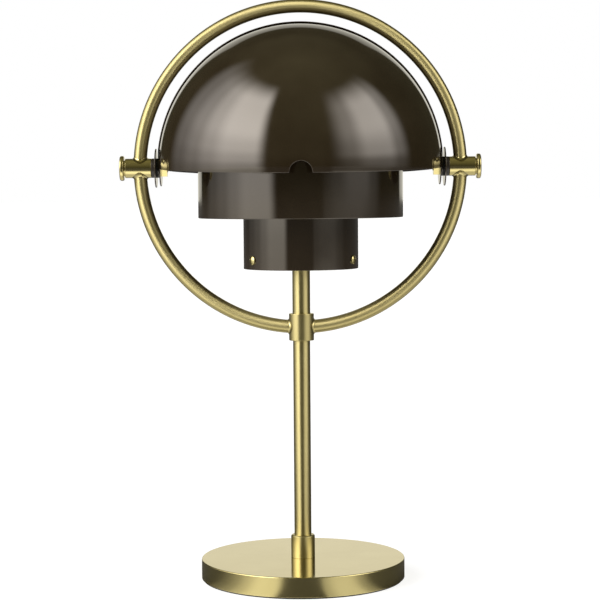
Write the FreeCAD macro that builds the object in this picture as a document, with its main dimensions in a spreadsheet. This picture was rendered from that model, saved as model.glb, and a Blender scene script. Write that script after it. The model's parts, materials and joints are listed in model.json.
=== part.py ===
import FreeCAD, Part
import Sketcher
import math
import os
import re

# Portable table lamp: a brass foot, stem and ring, with two quarter-dome shades
# that turn about a level axis, and a lamp head inside them.
# The origin is the centre of the foot's underside, Z is up and the front is -Y.
# Lengths are millimetres and angles are degrees.

SIZES = {
    # foot
    "base_diameter": 123.0,
    "base_height": 12.8,
    "base_edge_round": 0.6,
    "pad_thickness": 1.0,
    "pad_inset": 1.0,
    "cover_wall": 1.5,
    "plate_thickness": 1.5,
    "seat_gap": 0.1,
    "plate_screw_edge": 9.67,
    "plate_screw_radius": 1.5,
    "plate_screw_head": 2.8,
    "plate_screw_length": 6.0,
    "screw_recess_radius": 1.1,
    "screw_recess_depth": 0.8,
    "thread_gap": 0.05,
    "hole_spare_depth": 0.4,
    "weight_ring_width": 17.0,
    "weight_slot_width": 42.0,
    # cells and board
    "cell_end_space": 21.0,
    "cell_side_space": 10.5,
    "cell_height": 5.5,
    "cell_offset": 13.5,
    "cell_corner_round": 2.0,
    "lead_diameter": 1.0,
    "lead_bend_radius": 1.0,
    "lead_start": 0.5,
    "lead_overlap": 2.0,
    "lead_offset": 15.0,
    "lead_spacing": 2.4,
    "board_width": 38.0,
    "board_depth": 28.0,
    "board_thickness": 1.2,
    "board_setback": 7.0,
    "standoff_height": 0.6,
    "standoff_radius": 2.0,
    "standoff_inset": 3.0,
    "connector_width": 6.0,
    "connector_depth": 5.0,
    "connector_height": 3.0,
    "driver_width": 9.0,
    "driver_depth": 7.0,
    "driver_height": 1.8,
    "driver_setback": 11.0,
    # charging socket and push button
    "socket_width": 9.0,
    "socket_height": 3.2,
    "socket_depth": 7.5,
    "socket_wall": 0.3,
    "socket_offset": 8.0,
    "socket_recess": 1.8,
    "socket_floor": 1.0,
    "socket_gap": 0.2,
    "tongue_width": 6.6,
    "tongue_thickness": 0.7,
    "tongue_setback": 0.8,
    "button_offset": 9.0,
    "button_height": 6.6,
    "button_radius": 3.0,
    "button_gap": 0.08,
    "button_proud": 0.2,
    "button_edge_round": 0.4,
    "button_cap_length": 3.4,
    "button_flange_radius": 3.5,
    "button_flange_thickness": 0.8,
    "button_pin_radius": 1.5,
    "button_pin_length": 4.1,
    "pin_gap": 0.35,
    "switch_width": 6.0,
    "switch_depth": 4.0,
    "switch_headroom": 2.4,
    "switch_bore_depth": 1.6,
    "switch_entry": 0.6,
    # stem
    "stem_lower_diameter": 10.3,
    "stem_upper_diameter": 10.7,
    "stem_wall": 1.2,
    "stem_foot_height": 6.8,
    "stem_fit": 0.05,
    "stem_nut_width": 16.0,
    "stem_nut_thickness": 3.5,
    "collar_diameter": 14.4,
    "collar_height": 13.8,
    "collar_chamfer": 0.7,
    "stem_thread_diameter": 9.8,
    "stem_end_length": 2.0,
    # ring
    "pivot_height": 249.0,
    "ring_radius": 96.1,
    "ring_tube_diameter": 8.0,
    "ring_tube_wall": 1.0,
    "ring_fit": 0.04,
    "ring_hub_end_angle": 3.35,
    "ring_pivot_end_angle": 1.95,
    "hub_diameter": 15.0,
    "hub_height": 16.2,
    "hub_chamfer": 0.4,
    "braze_flare": 1.3,
    "braze_reach": 1.3,
    "braze_root": 2.0,
    # pivots
    "barrel_length": 15.8,
    "barrel_diameter": 11.6,
    "barrel_shift": 1.0,
    "barrel_chamfer": 0.4,
    "bolt_diameter": 5.0,
    "bolt_fit": 0.05,
    "bolt_end_length": 0.4,
    "bolt_neck_diameter": 9.4,
    "bolt_neck_length": 0.6,
    "bolt_head_diameter": 14.9,
    "bolt_head_thickness": 2.6,
    "bolt_head_round": 1.0,
    "outer_spacer_thickness": 2.3,
    "disc_diameter": 23.3,
    "disc_thickness": 0.8,
    "shade_washer_space": 0.7,
    "friction_washer_space": 0.55,
    "washer_diameter": 11.6,
    "face_gap": 0.04,
    "pivot_nut_width": 10.1,
    "pivot_nut_thickness": 3.4,
    # shades
    "back_shade_bulge": 0.6,
    "back_shade_crown": 1.0,
    "front_shade_bulge": 0.7,
    "front_shade_crown": 0.6,
    "shade_thickness": 0.8,
    "shade_sweep": 90.0,
    "shade_overlap": 4.0,
    "shade_droop": 2.7,
    "notch_width": 13.0,
    "notch_rise": 2.7,
    "cut_overrun": 2.0,
    # lamp head
    "housing_diameter": 69.0,
    "housing_drop": 60.8,
    "housing_wall": 1.0,
    "housing_flange_bore": 12.0,
    "drum_diameter": 123.0,
    "drum_drop": 30.2,
    "drum_height": 42.0,
    "drum_wall": 0.8,
    "drum_floor": 1.0,
    "cable_bore": 4.0,
    "carrier_recess": 1.8,
    "carrier_thickness": 2.0,
    "carrier_skirt_height": 6.0,
    "carrier_skirt_wall": 1.9,
    "head_nut_thickness": 4.0,
    "housing_screw_rise": 5.6,
    "housing_screw_radius": 1.2,
    "housing_screw_length": 4.0,
    "housing_screw_head": 2.75,
    "housing_screw_rim": 0.6,
    "housing_screw_dome": 0.9,
    "screw_slot_width": 0.8,
    "screw_slot_depth": 0.8,
    "screw_hole_gap": 0.2,
    "screw_turn": 3.5,
    "drum_screw_circle": 18.0,
    "drum_screw_radius": 1.45,
    "drum_screw_head": 2.7,
    "drum_screw_head_height": 1.8,
    "drum_screw_grip": 4.0,
    "sink_radius": 30.0,
    "sink_height": 8.0,
    "sink_slot_depth": 7.0,
    "sink_slot_width": 2.0,
    "led_board_radius": 28.0,
    "led_board_thickness": 1.6,
    "chip_size": 3.0,
    "chip_height": 0.7,
    "chip_circle": 20.0,
    "liner_wall": 1.0,
    "liner_height": 26.2,
    "liner_lip_width": 3.0,
    "liner_lip_thickness": 1.5,
    "diffuser_thickness": 2.5,
    "diffuser_chamfer": 0.4,
    # cable inside the stem
    "cable_diameter": 2.0,
    "cable_bend_radius": 4.0,
}

HOUSING_SCREWS = 3
DRUM_SCREWS = 3
SINK_SLOTS = 16
CHIPS = 12

# Places that follow from the sizes. Those of the pivots are stations along X.
PLACES = {
    "pad_top": "pad_thickness",
    "plate_top": "pad_thickness + plate_thickness",
    "cover_radius": "base_diameter / 2",
    "cover_inner_radius": "base_diameter / 2 - cover_wall",
    "cover_ceiling": "base_height - cover_wall",
    "plate_screw_offset": "(cover_radius - plate_screw_edge) * cos(45)",
    "weight_inner_radius": "cover_radius - weight_ring_width",
    "cell_length": "2 * (weight_inner_radius - cell_end_space)",
    "cell_width": "weight_inner_radius - cell_offset - cell_side_space",
    "board_bottom": "plate_top + standoff_height",
    "board_top": "board_bottom + board_thickness",
    "board_back": "cover_radius - board_setback",
    "board_front": "board_back - board_depth",
    "cable_level": "board_top + cable_diameter / 2",
    "lead_level": "board_top + lead_diameter / 2",
    "lead_start_level": "lead_level + 2 * lead_bend_radius",
    "lead_front": "cell_length / 2",
    "lead_first_bend": "lead_front + lead_start",
    "lead_middle": "lead_first_bend + lead_bend_radius",
    "lead_last_bend": "lead_middle + lead_bend_radius",
    "socket_front": "cover_radius - socket_recess",
    "socket_back": "socket_front - socket_depth",
    "socket_level": "board_top + socket_height / 2",
    "button_front": "cover_radius + button_proud",
    "button_flange_front": "button_front - button_cap_length",
    "button_flange_back": "button_flange_front - button_flange_thickness",
    "button_back": "button_flange_back - button_pin_length",
    "switch_face": "button_back + switch_entry",
    "stem_lower_radius": "stem_lower_diameter / 2",
    "stem_upper_radius": "stem_upper_diameter / 2",
    "stem_thread_radius": "stem_thread_diameter / 2",
    "stem_top": "carrier_top + head_nut_thickness + stem_end_length",
    "tube_radius": "ring_tube_diameter / 2",
    "hub_radius": "hub_diameter / 2",
    "hub_level": "pivot_height - ring_radius",
    "hub_bottom": "hub_level - hub_height / 2",
    "hub_top": "hub_level + hub_height / 2",
    "barrel_radius": "barrel_diameter / 2",
    "barrel_inner": "ring_radius + barrel_shift - barrel_length / 2",
    "barrel_outer": "ring_radius + barrel_shift + barrel_length / 2",
    "bolt_radius": "bolt_diameter / 2",
    "bolt_bore": "bolt_radius + bolt_fit",
    "bolt_head_base": "barrel_outer + bolt_neck_length",
    "bolt_head_end": "bolt_head_base + bolt_head_thickness",
    "disc_outer": "barrel_inner - outer_spacer_thickness",
    "disc_inner": "disc_outer - disc_thickness",
    "back_flat": "disc_inner - shade_washer_space",
    "back_flat_inside": "back_flat - shade_thickness",
    "front_flat": "back_flat_inside - friction_washer_space",
    "front_flat_inside": "front_flat - shade_thickness",
    "nut_outer": "front_flat_inside - face_gap",
    "nut_inner": "nut_outer - pivot_nut_thickness",
    "back_shade_radius": "back_flat + back_shade_bulge",
    "front_shade_radius": "front_flat + front_shade_bulge",
    "notch_radius": "notch_width / 2",
    "notch_middle": "notch_rise - notch_radius",
    "housing_radius": "housing_diameter / 2",
    "housing_inner_radius": "housing_radius - housing_wall",
    "housing_bottom": "pivot_height - housing_drop",
    "housing_screw_level": "housing_bottom + housing_screw_rise",
    "carrier_radius": "housing_inner_radius - seat_gap",
    "carrier_bottom": "housing_bottom + carrier_recess",
    "carrier_top": "carrier_bottom + carrier_thickness",
    "drum_radius": "drum_diameter / 2",
    "drum_inner_radius": "drum_radius - drum_wall",
    "drum_bottom": "pivot_height - drum_drop",
    "drum_top": "drum_bottom + drum_height",
    "drum_floor_top": "drum_bottom + drum_floor",
    "flange_bottom": "drum_bottom - housing_wall",
    "sink_top": "drum_floor_top + sink_height",
    "led_board_top": "sink_top + led_board_thickness",
    "liner_radius": "drum_inner_radius - seat_gap",
    "liner_top": "drum_floor_top + liner_height",
    "diffuser_top": "liner_top + diffuser_thickness",
    "screw_dome_radius":
        "(housing_screw_head ^ 2 + housing_screw_dome ^ 2) / (2 * housing_screw_dome)",
    "screw_head_top": "housing_radius + housing_screw_rim + housing_screw_dome",
}

SIDES = {"left": -1, "right": 1}

doc = FreeCAD.newDocument("TableLamp")
sheet = doc.addObject("Spreadsheet::Sheet", "Sizes")
for row, (word, size) in enumerate(SIZES.items(), start=1):
    sheet.set("A%d" % row, word)
    sheet.set("B%d" % row, str(size))
    sheet.setAlias("B%d" % row, word)
doc.recompute()

pieces = []


def written_out(text):
    """Turn a sum of place and size names into an expression on the sheet."""

    def swap(match):
        word = match.group(0)
        if word in PLACES:
            return "(" + written_out(PLACES[word]) + ")"
        return "Sizes." + word

    return re.sub(r"[a-z]+(?:_[a-z]+)+", swap, text)


def number(text):
    return float(sheet.evalExpression(written_out(text)))


def rotation(axis, angle):
    vectors = {"x": "vector(1; 0; 0)", "y": "vector(0; 1; 0)", "z": "vector(0; 0; 1)"}
    return "rotation(%s; %s)" % (vectors[axis], angle)


def place(item, x="0", y="0", z="0", turn="rotation(vector(0; 0; 1); 0)"):
    text = "placement(vector(%s; %s; %s); %s)" % (x, y, z, turn)
    item.setExpression("Placement", written_out(text))
    return item


def keep(item, name):
    """Name a finished piece and put it on the list of files to write."""
    item.Label = name
    pieces.append(item)
    return item


def new_body(name):
    body = doc.addObject("PartDesign::Body", name)
    body.Label = name
    return body


def new_sketch(body, name, role, shift=("0", "0", "0")):
    """A sketch on one of the body's own planes, shifted in the sketch's own directions."""
    sketch = body.newObject("Sketcher::SketchObject", name)
    plane = [item for item in body.Origin.OriginFeatures if item.Role == role][0]
    sketch.AttachmentSupport = [(plane, "")]
    sketch.MapMode = "FlatFace"
    for axis, text in zip("xyz", shift):
        if text != "0":
            sketch.setExpression("AttachmentOffset.Base." + axis, written_out(text))
    return sketch


def hold(sketch, kind, geometry, end, text):
    """Hold one coordinate of a point, kind being DistanceX or DistanceY."""
    if text == "0":
        axis = -2 if kind == "DistanceX" else -1
        sketch.addConstraint(Sketcher.Constraint("PointOnObject", geometry, end, axis))
        return
    held = Sketcher.Constraint(kind, -1, 1, geometry, end, number(text))
    index = sketch.addConstraint(held)
    sketch.setExpression("Constraints[%d]" % index, written_out(text))


def draw_circle(sketch, radius, x="0", y="0"):
    centre = FreeCAD.Vector(number(x), number(y), 0)
    circle = Part.Circle(centre, FreeCAD.Vector(0, 0, 1), number(radius))
    geometry = sketch.addGeometry(circle)
    index = sketch.addConstraint(Sketcher.Constraint("Radius", geometry, number(radius)))
    sketch.setExpression("Constraints[%d]" % index, written_out(radius))
    hold(sketch, "DistanceX", geometry, 3, x)
    hold(sketch, "DistanceY", geometry, 3, y)


def draw_arc(sketch, start, stop, corner):
    """An arc about the corner's own centre, counterclockwise when its turn is 1."""
    centre = FreeCAD.Vector(number(corner[2]), number(corner[3]), 0)
    forward = corner[4] == 1
    angles = []
    for spot in (start, stop) if forward else (stop, start):
        angles.append(math.atan2(spot.y - centre.y, spot.x - centre.x))
    if angles[1] <= angles[0]:
        angles[1] += 2 * math.pi
    circle = Part.Circle(centre, FreeCAD.Vector(0, 0, 1), (start - centre).Length)
    geometry = sketch.addGeometry(Part.ArcOfCircle(circle, angles[0], angles[1]))
    chord = stop - start
    if abs(chord.x) < abs(chord.y):
        hold(sketch, "DistanceX", geometry, 3, corner[2])
    else:
        hold(sketch, "DistanceY", geometry, 3, corner[3])
    return (geometry, 1, 2) if forward else (geometry, 2, 1)


def draw(sketch, corners, closed=True):
    """Join corners (x, y) by straight lines. A corner written as
    (x, y, centre x, centre y, turn) is reached by an arc instead."""
    spots = [FreeCAD.Vector(number(c[0]), number(c[1]), 0) for c in corners]
    stretches = []
    for k in range(0 if closed else 1, len(corners)):
        start = spots[k - 1]
        stop = spots[k]
        if len(corners[k]) == 2:
            geometry = sketch.addGeometry(Part.LineSegment(start, stop))
            stretches.append((geometry, 1, 2))
        else:
            stretches.append(draw_arc(sketch, start, stop, corners[k]))
    for k, (geometry, start_end, stop_end) in enumerate(stretches):
        if closed or k:
            before = stretches[k - 1]
            meeting = Sketcher.Constraint(
                "Coincident", before[0], before[2], geometry, start_end)
            sketch.addConstraint(meeting)
        corner = corners[k if closed else k + 1]
        hold(sketch, "DistanceX", geometry, stop_end, corner[0])
        hold(sketch, "DistanceY", geometry, stop_end, corner[1])
    if not closed:
        geometry, start_end, stop_end = stretches[0]
        hold(sketch, "DistanceX", geometry, start_end, corners[0][0])
        hold(sketch, "DistanceY", geometry, start_end, corners[0][1])


def rectangle(left, right, low, high):
    return [(left, low), (right, low), (right, high), (left, high)]


def flat_slot(x, y, width, height):
    """The outline of a slot with round ends, its middle at x and y."""
    left = "%s - (%s) / 2 + (%s) / 2" % (x, width, height)
    right = "%s + (%s) / 2 - (%s) / 2" % (x, width, height)
    low = "%s - (%s) / 2" % (y, height)
    high = "%s + (%s) / 2" % (y, height)
    return [
        (right, low),
        (right, high, right, y, 1),
        (left, high),
        (left, low, left, y, 1),
    ]


def rounded_rectangle(left, right, low, high, radius):
    """A rectangle whose corners are rounded."""
    inner_left = "%s + %s" % (left, radius)
    inner_right = "%s - %s" % (right, radius)
    inner_low = "%s + %s" % (low, radius)
    inner_high = "%s - %s" % (high, radius)
    return [
        (inner_right, low),
        (right, inner_low, inner_right, inner_low, 1),
        (right, inner_high),
        (inner_right, high, inner_right, inner_high, 1),
        (inner_left, high),
        (left, inner_high, inner_left, inner_high, 1),
        (left, inner_low),
        (inner_left, low, inner_left, inner_low, 1),
    ]


def revolve(body, sketch, name, axis="V_Axis", kind="PartDesign::Revolution"):
    feature = body.newObject(kind, name)
    feature.Profile = sketch
    feature.ReferenceAxis = (sketch, [axis])
    feature.Angle = 360
    return feature


def extrude(body, sketch, name, length, kind="PartDesign::Pad"):
    feature = body.newObject(kind, name)
    feature.Profile = sketch
    feature.setExpression("Length", written_out(length))
    return feature


def cut_away(body, sketch, name, length):
    return extrude(body, sketch, name, length, "PartDesign::Pocket")


def repeat(body, feature, name, count):
    """Repeat a feature in equal steps about the body's Z axis."""
    axis = [item for item in body.Origin.OriginFeatures if item.Role == "Z_Axis"][0]
    pattern = body.newObject("PartDesign::PolarPattern", name)
    pattern.Originals = [feature]
    pattern.Axis = (axis, [""])
    pattern.Angle = 360
    pattern.Occurrences = count
    body.Tip = pattern


def sweep(name, profile_role, profile_shift, radius, path_shift, path):
    """A round wire along a path in a plane parallel to YZ."""
    body = new_body(name)
    route = new_sketch(body, name + "_path", "YZ_Plane", path_shift)
    draw(route, path, closed=False)
    section = new_sketch(body, name + "_section", profile_role, profile_shift)
    draw_circle(section, radius)
    pipe = body.newObject("PartDesign::AdditivePipe", name + "_pipe")
    pipe.Profile = section
    pipe.Spine = (route, ["Edge%d" % k for k in range(1, len(path))])
    return body


def turned(name, corners):
    """A round piece turned about its own Z axis, from (radius, height) corners."""
    body = new_body(name)
    sketch = new_sketch(body, name + "_profile", "XZ_Plane")
    draw(sketch, corners)
    revolve(body, sketch, name + "_turning")
    return body


def collected(name, items):
    group = doc.addObject("Part::Compound", name)
    group.Links = items
    return keep(group, name)


def hex_nut(name, width, bore, low, thickness):
    """A hexagon nut on its own Z axis, with corners on the Y axis."""
    body = new_body(name)
    sketch = new_sketch(body, name + "_outline", "XY_Plane", ("0", "0", low))
    corner = "(%s) / 2 / cos(30)" % width
    half = "(%s) / 2" % width
    rise = "(%s) / 2 * tan(30)" % width
    draw(sketch, [
        ("0", "-" + corner),
        (half, "-" + rise),
        (half, rise),
        ("0", corner),
        ("-" + half, rise),
        ("-" + half, "-" + rise),
    ])
    draw_circle(sketch, bore)
    extrude(body, sketch, name + "_prism", thickness)
    return body


def on_pivot(item, side):
    """Lay a piece turned about Z along the pivot axis, its top pointing outwards."""
    return place(item, z="pivot_height", turn=rotation("y", 90 * SIDES[side]))


def cross_holes(body, name, radius, level, outside, depth, count):
    """Holes that run inwards from the side of a round body."""
    shift = ("0", "0", outside + " + cut_overrun")
    sketch = new_sketch(body, name + "_circle", "YZ_Plane", shift)
    draw_circle(sketch, radius, "0", level)
    hole = cut_away(body, sketch, name, depth + " + cut_overrun")
    repeat(body, hole, name + "_ring", count)


def upright_holes(body, name, radius, x, y, top, depth, count):
    """Holes that run down from a height."""
    sketch = new_sketch(body, name + "_circle", "XY_Plane", ("0", "0", top))
    draw_circle(sketch, radius, x, y)
    hole = cut_away(body, sketch, name, depth)
    repeat(body, hole, name + "_ring", count)


# Foot

keep(turned("base_pad", rectangle("0", "cover_radius - pad_inset", "0", "pad_top")),
     "base_pad")

plate = turned("bottom_plate", rectangle(
    "0", "cover_inner_radius - seat_gap", "pad_top", "plate_top"))
posts = new_sketch(plate, "standoff_circles", "XY_Plane", ("0", "0", "plate_top"))
for sign in ("", "-"):
    for spot in ("board_front + standoff_inset", "board_back - standoff_inset"):
        draw_circle(posts, "standoff_radius", sign + "(board_width / 2 - standoff_inset)", spot)
extrude(plate, posts, "standoffs", "standoff_height")
sink = new_sketch(plate, "countersink_profile", "XZ_Plane",
                  ("plate_screw_offset", "0", "-plate_screw_offset"))
draw(sink, [
    ("0", "pad_top"),
    ("plate_screw_head + thread_gap", "pad_top"),
    ("plate_screw_radius + thread_gap", "plate_top"),
    ("0", "plate_top"),
])
countersink = revolve(plate, sink, "countersink", kind="PartDesign::Groove")
repeat(plate, countersink, "countersinks", 4)
keep(plate, "bottom_plate")

screws = []
for x_sign in ("", "-"):
    for y_sign in ("", "-"):
        screw = turned("plate_screw", [
            ("0", "pad_top + screw_recess_depth"),
            ("screw_recess_radius", "pad_top"),
            ("plate_screw_head", "pad_top"),
            ("plate_screw_radius", "plate_top"),
            ("plate_screw_radius", "pad_top + plate_screw_length"),
            ("0", "pad_top + plate_screw_length"),
        ])
        place(screw, x_sign + "plate_screw_offset", y_sign + "plate_screw_offset")
        screws.append(screw)
collected("plate_screws", screws)

weight = turned("base_weight", rectangle(
    "weight_inner_radius", "cover_inner_radius - seat_gap", "plate_top", "cover_ceiling"))
slot = new_sketch(weight, "board_slot", "XY_Plane", ("0", "0", "cover_ceiling + cut_overrun"))
draw(slot, rectangle("-weight_slot_width / 2", "weight_slot_width / 2", "0", "cover_radius"))
cut_away(weight, slot, "board_opening", "base_height")
upright_holes(weight, "screw_hole", "plate_screw_radius + thread_gap",
              "plate_screw_offset", "plate_screw_offset",
              "pad_top + plate_screw_length + hole_spare_depth",
              "plate_screw_length + hole_spare_depth", 4)
keep(weight, "base_weight")

cover = turned("base_cover", [
    ("stem_lower_radius + stem_fit", "cover_ceiling"),
    ("cover_inner_radius", "cover_ceiling"),
    ("cover_inner_radius", "pad_top"),
    ("cover_radius", "pad_top"),
    ("cover_radius", "base_height - base_edge_round"),
    ("cover_radius - base_edge_round", "base_height",
     "cover_radius - base_edge_round", "base_height - base_edge_round", 1),
    ("stem_lower_radius + stem_fit", "base_height"),
])
slot = new_sketch(cover, "socket_slot", "XZ_Plane")
draw(slot, flat_slot("socket_offset", "socket_level",
                     "socket_width + 2 * socket_gap", "socket_height + 2 * socket_gap"))
cut_away(cover, slot, "socket_opening", "cover_radius + cut_overrun")
hole = new_sketch(cover, "button_circle", "XZ_Plane")
draw_circle(hole, "button_radius + button_gap", "-button_offset", "button_height")
cut_away(cover, hole, "button_opening", "cover_radius + cut_overrun")
keep(cover, "base_cover")

# Cells, board, socket and button

for side, sign in (("left", "-"), ("right", "")):
    cell = new_body("battery_cell_" + side)
    base = new_sketch(cell, "cell_outline", "XY_Plane", ("0", "0", "plate_top"))
    draw(base, rounded_rectangle("-cell_width / 2", "cell_width / 2", "-cell_length / 2",
                                 "cell_length / 2", "cell_corner_round"))
    extrude(cell, base, "cell", "cell_height")
    place(cell, sign + "(cell_offset + cell_width / 2)")
    keep(cell, "battery_cell_" + side)

leads = []
for sign in ("", "-"):
    for across in (sign + "lead_offset", sign + "(lead_offset + lead_spacing)"):
        leads.append(sweep(
            "battery_lead", "XZ_Plane", (across, "lead_start_level", "-lead_front"),
            "lead_diameter / 2", ("0", "0", across), [
                ("lead_front", "lead_start_level"),
                ("lead_first_bend", "lead_start_level"),
                ("lead_middle", "lead_level + lead_bend_radius",
                 "lead_first_bend", "lead_level + lead_bend_radius", -1),
                ("lead_last_bend", "lead_level",
                 "lead_last_bend", "lead_level + lead_bend_radius", 1),
                ("board_front + lead_overlap", "lead_level"),
            ]))
collected("battery_leads", leads)

board = new_body("control_board")
base = new_sketch(board, "board_outline", "XY_Plane", ("0", "0", "board_bottom"))
draw(base, rectangle("-board_width / 2", "board_width / 2", "board_front", "board_back"))
extrude(board, base, "board", "board_thickness")
block = new_sketch(board, "connector_outline", "XY_Plane", ("0", "0", "board_top"))
draw(block, rectangle("-connector_width / 2", "connector_width / 2",
                      "board_front", "board_front + connector_depth"))
extrude(board, block, "connector", "connector_height")
block = new_sketch(board, "driver_outline", "XY_Plane", ("0", "0", "board_top"))
draw(block, rectangle("-driver_width / 2", "driver_width / 2", "board_front + driver_setback",
                      "board_front + driver_setback + driver_depth"))
extrude(board, block, "driver", "driver_height")
keep(board, "control_board")

socket = new_body("charging_socket")
shell = new_sketch(socket, "shell_outline", "XZ_Plane", ("0", "0", "-(socket_front)"))
draw(shell, flat_slot("socket_offset", "socket_level", "socket_width", "socket_height"))
extrude(socket, shell, "shell", "socket_depth")
mouth = new_sketch(socket, "mouth_outline", "XZ_Plane",
                   ("0", "0", "-(socket_back + socket_floor)"))
draw(mouth, flat_slot("socket_offset", "socket_level",
                      "socket_width - 2 * socket_wall", "socket_height - 2 * socket_wall"))
cut_away(socket, mouth, "mouth", "socket_depth")
tongue = new_sketch(socket, "tongue_outline", "XZ_Plane",
                    ("0", "0", "-(socket_front - tongue_setback)"))
draw(tongue, rectangle(
    "socket_offset - tongue_width / 2", "socket_offset + tongue_width / 2",
    "socket_level - tongue_thickness / 2", "socket_level + tongue_thickness / 2"))
extrude(socket, tongue, "tongue", "socket_depth - tongue_setback - socket_floor")
keep(socket, "charging_socket")

switch = new_body("switch_housing")
block = new_sketch(switch, "housing_outline", "XZ_Plane", ("0", "0", "-(switch_face)"))
draw(block, rectangle("-button_offset - switch_width / 2", "-button_offset + switch_width / 2",
                      "board_top", "button_height + switch_headroom"))
extrude(switch, block, "housing", "switch_depth")
bore = new_sketch(switch, "bore_circle", "XZ_Plane",
                  ("0", "0", "-(switch_face - switch_bore_depth)"))
draw_circle(bore, "button_pin_radius + pin_gap", "-button_offset", "button_height")
cut_away(switch, bore, "bore", "switch_bore_depth + cut_overrun")
keep(switch, "switch_housing")

button = turned("power_button", [
    ("0", "button_back"),
    ("button_pin_radius", "button_back"),
    ("button_pin_radius", "button_flange_back"),
    ("button_flange_radius", "button_flange_back"),
    ("button_flange_radius", "button_flange_front"),
    ("button_radius", "button_flange_front"),
    ("button_radius", "button_front - button_edge_round"),
    ("button_radius - button_edge_round", "button_front",
     "button_radius - button_edge_round", "button_front - button_edge_round", 1),
    ("0", "button_front"),
])
place(button, "-button_offset", z="button_height", turn=rotation("x", -90))
keep(button, "power_button")

# Stem

keep(hex_nut("stem_nut", "stem_nut_width", "stem_lower_radius + stem_fit",
             "cover_ceiling - stem_nut_thickness", "stem_nut_thickness"), "stem_nut")

keep(turned("stem_collar", [
    ("stem_lower_radius + stem_fit", "base_height"),
    ("collar_diameter / 2", "base_height"),
    ("collar_diameter / 2", "base_height + collar_height - collar_chamfer"),
    ("collar_diameter / 2 - collar_chamfer", "base_height + collar_height"),
    ("stem_lower_radius + stem_fit", "base_height + collar_height"),
]), "stem_collar")

keep(turned("stem_lower", rectangle(
    "stem_lower_radius - stem_wall", "stem_lower_radius", "stem_foot_height", "hub_level")),
     "stem_lower")

keep(turned("stem_upper", [
    ("stem_upper_radius - stem_wall", "hub_level"),
    ("stem_upper_radius", "hub_level"),
    ("stem_upper_radius", "carrier_bottom"),
    ("stem_thread_radius", "carrier_bottom"),
    ("stem_thread_radius", "stem_top"),
    ("stem_upper_radius - stem_wall", "stem_top"),
]), "stem_upper")

keep(sweep("inner_cable", "XY_Plane", ("0", "0", "sink_top"), "cable_diameter / 2",
           ("0", "0", "0"), [
               ("0", "sink_top"),
               ("0", "cable_level + cable_bend_radius"),
               ("cable_bend_radius", "cable_level",
                "cable_bend_radius", "cable_level + cable_bend_radius", 1),
               ("board_front", "cable_level"),
           ]), "inner_cable")

# Ring

ring_space = doc.addObject("Part::Torus", "ring_space")
ring_space.setExpression("Radius1", written_out("ring_radius"))
ring_space.setExpression("Radius2", written_out("tube_radius + ring_fit"))
place(ring_space, z="pivot_height", turn=rotation("x", 90))


def bent_tube(name, span, turn):
    """A length of the ring: an arc from +X downwards, then turned about Y."""
    body = new_body(name)
    sketch = new_sketch(body, name + "_section", "XY_Plane")
    draw_circle(sketch, "tube_radius", "ring_radius")
    draw_circle(sketch, "tube_radius - ring_tube_wall", "ring_radius")
    bend = revolve(body, sketch, name + "_bend")
    bend.setExpression("Angle", written_out(span))
    place(body, z="pivot_height", turn=rotation("y", turn))
    return keep(body, name)


bent_tube("ring_arch", "180 - 2 * ring_pivot_end_angle", "ring_pivot_end_angle - 180")
quarter = "90 - ring_pivot_end_angle - ring_hub_end_angle"
bent_tube("ring_quarter_right", quarter, "ring_pivot_end_angle")
bent_tube("ring_quarter_left", quarter, "90 + ring_hub_end_angle")


def add_flares(body, surface, station):
    """Cones of brazing metal where the ring tube leaves a round body on two sides."""
    sketch = new_sketch(body, "flare_profile", "XZ_Plane", ("0", station, "0"))
    draw(sketch, [
        (surface + " - braze_root", "0"),
        (surface + " + braze_reach", "0"),
        (surface + " + braze_reach", "tube_radius"),
        (surface, "tube_radius + braze_flare"),
        (surface + " - braze_root", "tube_radius + braze_flare"),
    ])
    flare = revolve(body, sketch, "flare", "H_Axis")
    repeat(body, flare, "flares", 2)


def without_ring_space(body, name):
    cut = doc.addObject("Part::Cut", name)
    cut.Base = body
    cut.Tool = ring_space
    cut.Refine = True
    return keep(cut, name)


hub = turned("ring_hub_blank", [
    ("stem_lower_radius + stem_fit", "hub_bottom"),
    ("hub_radius - hub_chamfer", "hub_bottom"),
    ("hub_radius", "hub_bottom + hub_chamfer"),
    ("hub_radius", "hub_top - hub_chamfer"),
    ("hub_radius - hub_chamfer", "hub_top"),
    ("stem_upper_radius + stem_fit", "hub_top"),
    ("stem_upper_radius + stem_fit", "hub_level"),
    ("stem_lower_radius + stem_fit", "hub_level"),
])
add_flares(hub, "hub_radius",
           "pivot_height - sqrt(ring_radius ^ 2 - (hub_radius + braze_reach) ^ 2)")
without_ring_space(hub, "ring_hub")

# Pivots

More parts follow.
